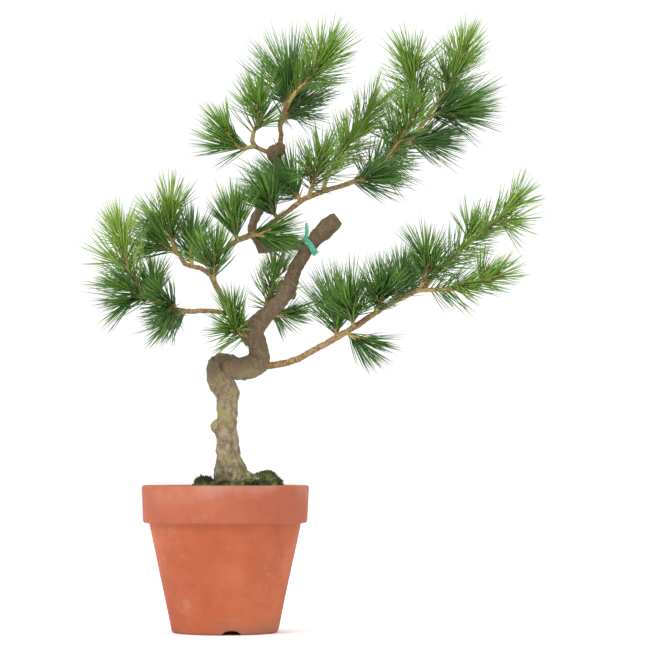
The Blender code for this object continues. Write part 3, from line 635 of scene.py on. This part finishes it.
def smooth_path(stations, step):
    """Points about a step apart on a cubic curve through the stations, its slopes weighted by distance."""
    rows = np.array(stations, float)
    at = np.concatenate(([0], np.cumsum(np.linalg.norm(np.diff(rows[:, :3], axis=0), axis=1))))
    run = np.diff(at)[:, None]
    slope = np.diff(rows, axis=0) / run
    inner = (slope[:-1] * run[1:] + slope[1:] * run[:-1]) / (run[1:] + run[:-1])
    tangent = np.concatenate((slope[:1], inner, slope[-1:]))
    where = np.linspace(0, at[-1], max(2, round(at[-1] / step)) + 1)
    i = np.clip(np.searchsorted(at, where, side="right") - 1, 0, len(run) - 1)
    h = run[i]
    t = (where - at[i])[:, None] / h
    return ((2 * t**3 - 3 * t**2 + 1) * rows[i] + (t**3 - 2 * t**2 + t) * h * tangent[i]
            + (3 * t**2 - 2 * t**3) * rows[i + 1] + (t**3 - t**2) * h * tangent[i + 1])


def ripple(points, size, seed):
    """Soft noise about 1 high: sines about size long, along random ways, over the root of their count."""
    chance = np.random.default_rng(seed)
    ways = unit(chance.normal(size=(RIPPLE_WAVES, 3))) * (2 * math.pi / size)
    ways = ways * chance.uniform(*RIPPLE_RATES, (RIPPLE_WAVES, 1))
    starts = chance.uniform(0, 2 * math.pi, RIPPLE_WAVES)
    return np.sin(points @ ways.T + starts).sum(axis=-1) / math.sqrt(RIPPLE_WAVES)


def ring_faces(rows, columns):
    """Two triangles for each cell of a grid whose columns close on themselves."""
    i, j = np.meshgrid(np.arange(rows - 1), np.arange(columns), indexing="ij")
    a, b = i * columns + j, i * columns + (j + 1) % columns
    cells = np.stack((a, b, b + columns, a, b + columns, a + columns), axis=-1)
    return cells.reshape(-1, 3)


def closed_grid(grid):
    """Points and triangles of a ring grid, each end closed by a fan to its middle."""
    rows, columns = grid.shape[:2]
    ends = grid[0].mean(axis=0)[None], grid[-1].mean(axis=0)[None]
    j = np.arange(columns)
    ahead = (j + 1) % columns
    last = (rows - 1) * columns
    first_fan = np.stack((ahead, j, np.full(columns, rows * columns)), axis=-1)
    last_fan = np.stack((last + j, last + ahead, np.full(columns, rows * columns + 1)), axis=-1)
    faces = np.concatenate((ring_faces(rows, columns), first_fan, last_fan))
    return np.concatenate((grid.reshape(-1, 3), *ends)), faces


def round_grid(radius, height, sides):
    """Rings of the given radii and heights about Z."""
    turn = turns(sides)
    return np.stack((radius * np.cos(turn), radius * np.sin(turn), height + 0 * turn), axis=-1)


def rings_along(path, columns):
    """Ring directions round each point of a path: across it times the cosine, and over it times the sine."""
    along = unit(np.gradient(path[:, :3], axis=0))
    across = [unit(np.cross(along[0], UP if abs(along[0][2]) < STEEP else BACK))]
    for direction in along[1:]:
        across.append(unit(across[-1] - direction * np.dot(across[-1], direction)))
    across, turn = np.array(across)[:, None], turns(columns)[:, None]
    return across * np.cos(turn) + np.cross(along[:, None], across) * np.sin(turn)


def piece(name, shapes, finish, stands_for):
    """One smooth object from pairs of points and triangles, which rides on the plant in its solids' stead."""
    starts = np.cumsum([0] + [len(points) for points, _ in shapes])
    points = np.concatenate([points for points, _ in shapes]) * METRES_PER_MM
    faces = np.concatenate([faces + start for (_, faces), start in zip(shapes, starts)]).astype(np.int32)
    mesh = bpy.data.meshes.new(name)
    mesh.vertices.add(len(points))
    mesh.vertices.foreach_set("co", points.astype(np.float32).ravel())
    mesh.loops.add(faces.size)
    mesh.loops.foreach_set("vertex_index", faces.ravel())
    mesh.polygons.add(len(faces))
    mesh.polygons.foreach_set("loop_start", np.arange(0, faces.size, 3, dtype=np.int32))
    mesh.update(calc_edges=True)
    mesh.shade_smooth()
    mesh.materials.append(finish)
    made = bpy.data.objects.new(name, mesh)
    bpy.context.scene.collection.objects.link(made)
    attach(made, "root")
    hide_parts(*stands_for)


def arc(radius, height, rounding, start, steps=8):
    """Points of a quarter round about (radius, height), anticlockwise from the start angle in degrees."""
    angles = np.radians(start + np.linspace(0, 90, steps))
    return [(radius + rounding * math.cos(a), height + rounding * math.sin(a)) for a in angles]


def dense(profile, step):
    """The profile with points added along each straight, no more than a step apart."""
    made = [profile[0]]
    for low, high in zip(profile[:-1], profile[1:]):
        count = max(1, math.ceil(math.dist(low, high) / step))
        made += [tuple(np.array(low) + (np.array(high) - low) * (k + 1) / count) for k in range(count)]
    return np.array(made)


def bore_radius(height):
    """The pot's inner radius, which grows evenly from its floor to its lip."""
    share = (height - FLOOR_THICKNESS) / (POT_HEIGHT - FLOOR_THICKNESS)
    return BORE_FLOOR_RADIUS + (BORE_TOP_RADIUS - BORE_FLOOR_RADIUS) * share


def pot_profile():
    """Radius and height from under the middle, up the outside, over the lip and down to the floor inside."""
    rim_foot = POT_HEIGHT - RIM_HEIGHT
    lip = POT_HEIGHT - LIP_DEPTH
    profile = [(HUB_RADIUS, 0), (BASE_RADIUS - BASE_RING, 0), (BASE_RADIUS - BASE_BEVEL, 0),
               (BASE_RADIUS, BASE_BEVEL), (BODY_TOP_RADIUS, rim_foot - RIM_UNDERCUT)]
    profile += arc(RIM_FOOT_RADIUS - RIM_ROUNDING, rim_foot + RIM_ROUNDING, RIM_ROUNDING, -90)
    profile += arc(RIM_RADIUS - RIM_ROUNDING, POT_HEIGHT - RIM_ROUNDING, RIM_ROUNDING, 0)
    profile += arc(BORE_TOP_RADIUS + LIP_ROUNDING, POT_HEIGHT - LIP_ROUNDING, LIP_ROUNDING, 90)
    profile += [(bore_radius(lip), lip), (BORE_FLOOR_RADIUS, FLOOR_THICKNESS), (HUB_RADIUS, FLOOR_THICKNESS)]
    return dense(profile, POT_STEP)


def make_pot(finish):
    """The turned profile, its radius moved by sine lines and noise, its foot lifted in three arches."""
    rows = pot_profile()
    radius, height = rows[:, :1], rows[:, 1:]
    grid = round_grid(radius, height, POT_SIDES)
    turn = turns(POT_SIDES)
    lines = TURNING_DEPTH * np.sin(height * TURNING_RATE + TURNING_SWAY * np.sin(turn))
    uneven = lines + CLAY_WAVER * ripple(grid, CLAY_WAVER_SIZE, SEEDS["clay"])
    waver = np.clip((height - STEADY_HEIGHT) / WAVER_RISE, 0, 1) * uneven
    grid[..., :2] += grid[..., :2] / radius[..., None] * waver[..., None]
    near = (radius > BASE_RADIUS - NOTCH_DEPTH) & (height < NOTCH_HEIGHT)
    for bearing in np.radians(NOTCH_BEARINGS):
        off = np.abs((turn - bearing + math.pi) % (2 * math.pi) - math.pi) * radius
        arch = NOTCH_HEIGHT * np.sqrt(np.clip(1 - (off / (NOTCH_WIDTH / 2)) ** 2, 0, None))
        grid[..., 2] = np.where(near, np.maximum(grid[..., 2], arch), grid[..., 2])
    piece("pot_clay", [closed_grid(grid)], finish, ["pot"])


def make_soil(finish):
    """A disc of rings, lifted by noise, whose level falls near the wall as a square, and closed below."""
    wall = [bore_radius(level) - SOIL_WALL_GAP for level in (SOIL_EDGE_LEVEL, SOIL_FOOT_LEVEL)]
    radius = np.concatenate((np.linspace(SOIL_HUB, SOIL_RADIUS, SOIL_RINGS), wall, [SOIL_HUB]))[:, None]
    below = [SOIL_EDGE_LEVEL + SOIL_EDGE_RISE, SOIL_FOOT_LEVEL, SOIL_FOOT_LEVEL]
    level = np.concatenate((np.full(SOIL_RINGS, SOIL_LEVEL), below))[:, None]
    grid = round_grid(radius, level, SOIL_SIDES)
    crumbs = sum(ripple(grid, size, SEEDS["soil"] + k) for k, size in enumerate(CRUMB_SIZES)) * CRUMB_HEIGHT
    edge = np.clip((radius - SOIL_FLAT_RADIUS) / (SOIL_RADIUS - SOIL_FLAT_RADIUS), 0, 1) ** 2
    grid[:SOIL_RINGS, :, 2] += (crumbs - edge * SOIL_EDGE_DROP)[:SOIL_RINGS]
    piece("soil_crumbs", [closed_grid(grid[::-1])], finish, ["soil"])


def moss_mound(x, y, half_width, half_depth, height, number):
    """An oval cap that rises as a power of (1 - a power of its reach), roughened by noise of two sizes."""
    reach = np.linspace(1, MOUND_TOP, MOUND_RINGS)[:, None]
    rise = (1 - reach**MOUND_BROADNESS) ** MOUND_STEEPNESS * height
    grid = round_grid(reach, SOIL_LEVEL - MOUND_SUNK + rise, MOUND_SIDES)
    grid[..., :2] = grid[..., :2] * (half_width, half_depth) + (x, y)
    outward = unit(grid - (x, y, SOIL_LEVEL) + LIFT)
    fine, broad = MOUND_LUMPS
    lumps = ripple(grid, fine, SEEDS["moss"] + number) + ripple(grid, broad, SEEDS["moss_broad"] + number)
    return grid + outward * lumps[..., None]


def make_moss(finish):
    """Mounds of moss, and short blades that stand on them, out from each mound's middle and up."""
    chance = np.random.default_rng(SEEDS["tufts"])
    mounds, tufts = [], []
    for number, mound in enumerate(MOSS_MOUNDS):
        grid = moss_mound(*mound, number)
        mounds.append(closed_grid(grid))
        places = grid[:-2].reshape(-1, 3)
        picked = places[chance.integers(0, len(places), TUFTS_PER_MOUND)]
        outward = unit(picked - (mound[0], mound[1], SOIL_LEVEL))
        ways = unit(outward + UP * TUFT_RISE + chance.normal(0, TUFT_SCATTER, picked.shape))
        lengths = chance.uniform(*TUFT_LENGTHS, len(picked))
        widths = chance.uniform(*TUFT_WIDTHS, len(picked))
        tufts.append(blades(picked - ways * TUFT_SUNK, ways, lengths, UP * TUFT_CURL + ways * 0, widths))
    piece("moss_mounds", mounds, finish, ["moss"])
    piece("moss_tufts", tufts, finish, ["moss"])


def bark_tube(stations, bark, seed):
    """A limb of the path's own radius, plus its relief times ridges of two sizes less the tops of a third."""
    step, columns, relief, grain = bark
    path = smooth_path(stations, step)
    ring = rings_along(path, columns)
    skin = path[:, None, :3] + ring * path[:, None, 3:]
    fine = ripple(skin, grain, seed) * FINE_RIDGES
    broad = ripple(skin, grain * BROAD_SIZE, seed + 1) * BROAD_RIDGES
    pits = np.clip(ripple(skin, grain * PIT_SIZE, seed + 2) - PIT_LEVEL, 0, None) * PIT_DEPTH
    fade = np.clip(path[:, 3] / FULL_RELIEF_RADIUS, LEAST_RELIEF, 1)[:, None]
    return closed_grid(skin + ring * ((fine + broad - pits) * relief * fade)[..., None])


def knot(x, y, z, radius, seed):
    """A round knot: rings from pole to pole of a ball, roughened by noise."""
    fall = np.linspace(KNOT_POLE, math.pi - KNOT_POLE, KNOT_RINGS)[:, None]
    ball = round_grid(np.sin(fall), -np.cos(fall), KNOT_SIDES)
    swell = radius + KNOT_RELIEF * ripple(ball * radius, KNOT_GRAIN, seed)
    return closed_grid(ball * swell[..., None] + (x, y, z))


def root_spur(x, y):
    """Stations from inside the trunk's foot, by a knee, to where the spur dips into the soil."""
    start, reach = np.array(SPUR_START[:2]), np.array((x, y))
    later = [(*(start + reach * share), height, radius) for share, height, radius in (SPUR_KNEE, SPUR_END)]
    return (SPUR_START, *later)


def make_trunk(finish):
    """The foot and the limb as bark tubes, with round knots and spurs sunk into them."""
    shapes = [bark_tube(TRUNK_FOOT, FOOT_BARK, SEEDS["foot"]),
              bark_tube(TRUNK_LIMB, LIMB_BARK, SEEDS["limb"])]
    shapes += [knot(*row, SEEDS["knots"] + k) for k, row in enumerate(KNOTS)]
    shapes += [bark_tube(root_spur(*end), SPUR_BARK, SEEDS["spurs"] + k) for k, end in enumerate(ROOT_SPURS)]
    piece("trunk_bark", shapes, finish, ["trunk"])


def make_tie(finish):
    """A folded section carried round an oval and swayed along its axis as a sine, with one flat free end."""
    lean = np.array((math.cos(TIE_TILT), 0, -math.sin(TIE_TILT)))
    axis = np.cross(lean, BACK)
    turn = turns(TIE_SIDES)[:, None]
    oval = lean * np.cos(turn) * TIE_HALF_LENGTH + BACK * np.sin(turn) * TIE_HALF_DEPTH
    sway = TIE_SWAY * np.sin(TIE_SWAYS * turn)
    lines = [TIE_CENTRE + oval + axis * (TIE_BAND / 2 * across + sway) + unit(oval) * out
             for across, out in TIE_SECTION]
    band = np.stack(lines, axis=1).reshape(-1, 3)
    faces = ring_faces(TIE_SIDES + 1, len(TIE_SECTION)) % len(band)
    end = smooth_path(TIE_END, TIE_END_STEP)
    tail = end[:, None, :3] + rings_along(end, TIE_END_SIDES) * end[:, None, 3:] * TIE_END_FLATNESS
    piece("tie_film", [(band, faces), closed_grid(tail)], finish, ["tie"])


def make_boughs(old_bark, young_bark):
    """One bark tube for each bough: old bark on the two leaders, young bark on the rest."""
    for number, (name, stations) in enumerate(BOUGHS):
        old = name.startswith("leader")
        shape = bark_tube(stations, LEADER_BARK if old else BOUGH_BARK, SEEDS["boughs"] + 3 * number)
        finish, slot = (old_bark, "bark") if old else (young_bark, "young_bark")
        piece(name + "_bark", [shape], finish, [name])


def place_on(path, share):
    """Points and directions at shares of a path's length."""
    where = np.clip(share, 0, 1) * (len(path) - 1)
    i = np.minimum(where.astype(int), len(path) - 2)
    step = path[i + 1, :3] - path[i, :3]
    return path[i, :3] + step * (where - i)[:, None], unit(step)


def turned_away(direction, angle, bearing, lean):
    """Directions at an angle from others, at a bearing round them, pulled towards the lean."""
    across = unit(np.cross(direction, BEARING_START))
    over = np.cross(direction, across)
    side = across * np.cos(bearing)[:, None] + over * np.sin(bearing)[:, None]
    return unit(direction * np.cos(angle)[:, None] + side * np.sin(angle)[:, None] + np.array(lean))


def blades(roots, ways, lengths, bends, widths):
    """Slender blades: rings on root + way * length * t + bend * t squared, then a point at t = 1."""
    t, swell = np.array(NEEDLE_RINGS), np.array(NEEDLE_SWELL)
    flat = unit(np.cross(ways, bends + NUDGE))
    over = np.cross(ways, flat)
    turn = turns(NEEDLE_SIDES)
    line = roots[:, None] + ways[:, None] * (lengths[:, None] * t)[..., None]
    line = line + bends[:, None] * (t**2)[:, None]
    ring = flat[:, None] * np.cos(turn)[:, None] + over[:, None] * (np.sin(turn) * NEEDLE_FLATNESS)[:, None]
    skin = line[:, :, None] + ring[:, None] * (widths[:, None] * swell / 2)[:, :, None, None]
    tips = roots + ways * lengths[:, None] + bends
    points = np.concatenate((skin.reshape(len(roots), -1, 3), tips[:, None]), axis=1)
    tip = points.shape[1] - 1
    ends = np.array([[2, 1, 0], [tip - 3, tip - 2, tip], [tip - 2, tip - 1, tip], [tip - 1, tip - 3, tip]])
    faces = np.concatenate((ring_faces(len(t), NEEDLE_SIDES), ends))
    starts = (tip + 1) * np.arange(len(roots))[:, None, None]
    return points.reshape(-1, 3), (faces + starts).reshape(-1, 3)


def grow_twigs(stem, lean, chance):
    """Side twigs of three stations, each in its own half turn: one on a short stem, else two."""
    count = 2 if np.linalg.norm(stem[-1, :3] - stem[0, :3]) > SHORT_STEM else 1
    twigs = []
    for k, share in enumerate(TWIG_SHARES[:count]):
        root, direction = place_on(stem, np.array([share]))
        bearing = np.array([math.pi * k + chance.uniform(0, math.pi)])
        away = turned_away(direction, np.array([TWIG_ANGLE]), bearing, lean)
        run = np.linspace(0, TWIG_LENGTH, len(TWIG_RADII))[:, None]
        twigs.append(np.column_stack((root + away * run, TWIG_RADII)))
    return twigs


def grow_pairs(stem, twigs, count, length, spread, lean, young, chance):
    """Pairs by the golden angle, open at the stem's foot and close at its tip, every fourth on a twig."""
    k = np.arange(count * PAIRS_PER_SPRAY)
    share = FIRST_NEEDLE + (1 - FIRST_NEEDLE) * ((k + 0.5) / len(k)) ** CROWDING
    roots, along = place_on(stem, np.minimum(share, LAST_NEEDLE))
    for number, twig in enumerate(twigs):
        here = (k % TWIG_EVERY == TWIG_EVERY - 1) & ((k // TWIG_EVERY) % len(twigs) == number)
        share = np.where(here, chance.uniform(*TWIG_NEEDLES, len(k)), share)
        at, way = place_on(twig, share)
        roots, along = np.where(here[:, None], at, roots), np.where(here[:, None], way, along)
    off = spread + (TIP_SPREAD - spread) * share**2
    off = off + chance.uniform(-SPREAD_CHANCE, SPREAD_CHANCE, len(k)) * share
    bearing = GOLDEN_ANGLE * k + chance.uniform(-BEARING_CHANCE, BEARING_CHANCE, len(k))
    ways = turned_away(along, np.radians(np.clip(off, *SPREAD_LIMITS)), bearing, lean)
    lengths = length * chance.uniform(*LENGTH_CHANCE, len(k))
    forward = along - ways * (along * ways).sum(axis=1, keepdims=True)
    bends = forward * (lengths * chance.uniform(*CURVE_CHANCE, len(k)))[:, None]
    bends = bends + UP * (lengths * chance.uniform(*SAG_CHANCE, len(k)))[:, None]
    youth = young * YOUTH_OF_MASS + share * YOUTH_TO_TIP
    youth = youth + chance.normal(0, YOUTH_CHANCE, len(k)) + YOUTH_START
    return roots, ways, lengths, bends, youth


def stem_shape(stem):
    """A stem whose radius is raised by scale bases: what is above 0 of the product of two crossing sines."""
    path = smooth_path(stem, SCALE_STEP)
    turn = turns(STEM_SIDES)
    run = np.arange(len(path))[:, None] * SCALE_STEP
    spiral = np.sin(SCALE_ROWS[0] * turn + run * SCALE_RATES[0])
    crossing = np.sin(run * SCALE_RATES[1] - SCALE_ROWS[1] * turn)
    scales = np.clip(spiral * crossing, 0, None) * SCALE_HEIGHT
    radius = path[:, None, 3] + scales
    return closed_grid(path[:, None, :3] + rings_along(path, STEM_SIDES) * radius[..., None])


def bud_shape(path):
    """A pointed bud on a path's end: rings whose radius swells and closes as a power of a sine."""
    t = np.linspace(*BUD_SPAN, BUD_RINGS)
    way = unit(path[-1, :3] - path[-2, :3])
    radius = path[-1, 3] * BUD_SWELL * np.sin(np.pi * t**BUD_POWER) ** BUD_POWER + BUD_TIP_RADIUS
    line = path[-1, :3] + way * (t * BUD_LENGTH)[:, None]
    return closed_grid(line[:, None] + rings_along(line, BUD_SIDES) * radius[:, None, None])


def needle_pieces(roots, ways, lengths, bends, youth, names):
    """Two blades from each root, a small angle apart, joined into one piece for each tone."""
    levels = np.array([level for _, _, level in NEEDLE_TONES])
    tone = np.abs(youth[:, None] - levels).argmin(axis=1)
    chance = np.random.default_rng(SEEDS["needle_sides"])
    side = unit(np.cross(ways, chance.normal(size=ways.shape)))
    for number, (name, colour, _) in enumerate(NEEDLE_TONES):
        here = tone == number
        width = np.full(here.sum(), NEEDLE_WIDTH)
        halves = []
        for hand in (-1, 1):
            away = unit(ways[here] + side[here] * hand * PAIR_ANGLE)
            trim = lengths[here] * chance.uniform(*PARTNER_LENGTHS, len(width))
            halves.append(blades(roots[here], away, trim, bends[here], width))
        piece(name, halves, needle_finish(name, colour), names)


def make_foliage():
    """Every mass's stem, twigs, buds, sheaths and needles, joined into one piece for each kind and tone."""
    names = [row[0] for row in MASSES]
    stems, buds, pairs = [], [], []
    for number, (_, points, count, length, spread, lean, young) in enumerate(MASSES):
        chance = np.random.default_rng(SEEDS["masses"] + number)
        stations = np.column_stack((points, np.linspace(STEM_ROOT_RADIUS, STEM_TIP_RADIUS, len(points))))
        stem = smooth_path(stations, STEM_STEP)
        twigs = grow_twigs(stem, lean, chance)
        stems += [stem_shape(path) for path in (stations, *twigs)]
        buds += [bud_shape(path) for path in (stem, *twigs)]
        pairs.append(grow_pairs(stem, twigs, count, length, spread, lean, young, chance))
    roots, ways, lengths, bends, youth = (np.concatenate(column) for column in zip(*pairs))
    every = np.ones(len(roots))
    sheaths = blades(roots, ways, every * SHEATH_LENGTH, bends * 0, every * SHEATH_WIDTH)
    brown = bud_finish()
    piece("shoot_stems", stems, new_stem_finish(), names)
    piece("buds", buds, brown, names)
    piece("sheaths", [sheaths], brown, names)
    needle_pieces(roots, ways, lengths, bends, youth, names)


def make_floor():
    """A wide white square under the pot."""
    reach = FLOOR_REACH
    mesh = bpy.data.meshes.new("floor")
    mesh.from_pydata([(-reach, -reach, 0), (reach, -reach, 0), (reach, reach, 0), (-reach, reach, 0)],
                     [], [(0, 1, 2, 3)])
    mesh.materials.append(Finish("floor_white", FLOOR_WHITE, 1.0).material)
    floor = bpy.data.objects.new("floor", mesh)
    bpy.context.scene.collection.objects.link(floor)


def make_lights():
    """Soft square lamps turned to the plant, under an even white sky."""
    scene = bpy.context.scene
    for name, place, size, watts in LIGHTS:
        light = bpy.data.lights.new(name, "AREA")
        light.size, light.energy = size, watts
        lamp = bpy.data.objects.new(name, light)
        lamp.location = place
        aim = np.array(LIGHTS_AIM) - place
        nod = math.acos(-aim[2] / np.linalg.norm(aim))
        lamp.rotation_euler = (nod, 0, math.atan2(aim[1], aim[0]) - math.pi / 2)
        scene.collection.objects.link(lamp)
    world = bpy.data.worlds.new("studio")
    world.use_nodes = True
    sky = world.node_tree.nodes["Background"]
    sky.inputs["Color"].default_value = (1, 1, 1, 1)
    sky.inputs["Strength"].default_value = SKY_STRENGTH
    scene.world = world
    scene.view_settings.view_transform = "Standard"


def make_camera():
    """The camera, in front of the plant at the photograph's angle."""
    camera = bpy.data.cameras.new("camera")
    camera.lens, camera.sensor_width = FOCAL_LENGTH, SENSOR_WIDTH
    eye = bpy.data.objects.new("camera", camera)
    eye.location = CAMERA_PLACE
    eye.rotation_euler = (math.pi / 2 + CAMERA_TILT, 0, 0)
    bpy.context.scene.collection.objects.link(eye)
    bpy.context.scene.camera = eye


def main():
    """The finishes and pieces from the pot up, then the floor, the lights and the camera."""
    old_bark = bark_finish()
    make_pot(clay_finish())
    make_soil(earth_finish())
    make_moss(moss_finish())
    make_trunk(old_bark)
    make_tie(tie_finish())
    make_boughs(old_bark, young_bark_finish())
    make_foliage()
    make_floor()
    make_lights()
    make_camera()


main()
